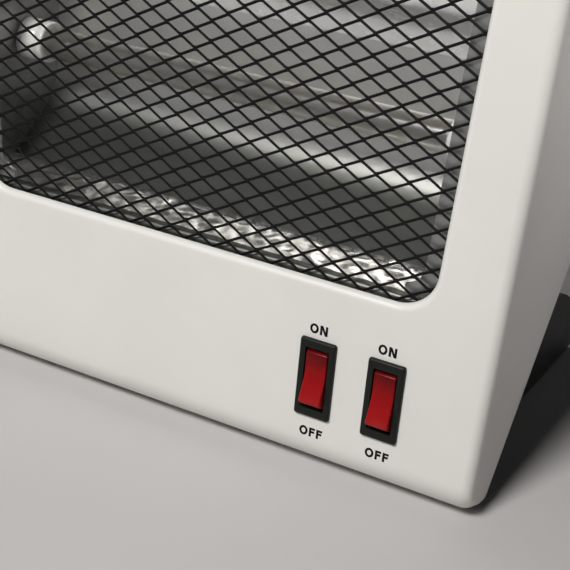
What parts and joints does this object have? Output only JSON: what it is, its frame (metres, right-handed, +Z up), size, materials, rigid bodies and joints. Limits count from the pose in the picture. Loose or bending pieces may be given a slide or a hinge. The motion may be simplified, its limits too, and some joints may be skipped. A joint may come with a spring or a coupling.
{
  "type": "electric bar heater",
  "caption": "Leaning quartz bar heater: white moulded front, black expanded-metal grille, mirror troughs behind two tubes, two red rocker switches, dark vented back and splayed feet.",
  "frame": {"origin": "centre of the footprint, on the surface that the feet stand on", "axes": "+X to the heater's right seen from its front, +Y to its back, +Z up; the front leans back 8 degrees"},
  "size_m": [0.262, 0.1348, 0.3248],
  "materials": {
    "white_plastic": "fine satin moulded",
    "black_wire": "satin black enamel",
    "plated_steel": "dull plated",
    "mirror_sheet": "polished, slightly crumpled",
    "quartz": "milky quartz",
    "coil_wire": "oxidised wire",
    "ceramic": "glazed ceramic",
    "brass": "plated",
    "black_plastic": "satin moulded",
    "red_plastic": "translucent glossy",
    "sleeving": "glass-fibre sleeving",
    "dark_plastic": "fine grained moulded",
    "rubber": "matt",
    "screw_steel": "zinc plated"
  },
  "bodies": {
    "root": {"front_shell": "white_plastic", "grille": "black_wire", "grille_frame": "plated_steel", "reflector": "mirror_sheet", "end_plate_left": "plated_steel", "end_plate_right": "plated_steel", "quartz_tube_lower": "quartz", "quartz_tube_upper": "quartz", "heating_coil_lower": "coil_wire", "heating_coil_upper": "coil_wire", "ceramic_end_lower_left": "ceramic", "ceramic_end_lower_right": "ceramic", "ceramic_end_upper_left": "ceramic", "ceramic_end_upper_right": "ceramic", "tube_terminals": "brass", "switch_body_left": "black_plastic", "switch_body_right": "black_plastic", "switch_terminals": "brass", "terminal_block": "ceramic", "thermal_cutout": "plated_steel", "wiring": "sleeving", "tip_switch": "black_plastic", "rear_housing": "dark_plastic", "carry_handle": "dark_plastic", "foot_left": "dark_plastic", "foot_right": "dark_plastic", "foot_pads": "rubber", "cord_gland": "rubber", "case_screws": "screw_steel", "bracket_screws": "screw_steel", "foot_screws": "screw_steel", "handle_screws": "screw_steel"},
    "rocker_left": {"rocker_left": "red_plastic"},
    "rocker_right": {"rocker_right": "red_plastic"},
    "tip_plunger": {"tip_plunger": "white_plastic"}
  },
  "joints": [
    {"name": "rocker_left_tilt", "type": "hinge", "parent": "root", "child": "rocker_left", "pos_m": [0.056, -0.05792, 0.04015], "axis": [1, 0, 0], "range_deg": [0, 20]},
    {"name": "rocker_right_tilt", "type": "hinge", "parent": "root", "child": "rocker_right", "pos_m": [0.0825, -0.05792, 0.04015], "axis": [1, 0, 0], "range_deg": [0, 20]},
    {"name": "tip_plunger_slide", "type": "slide", "parent": "root", "child": "tip_plunger", "axis": [0, 0, 1], "range_m": [-0.005, 0]}
  ]
}
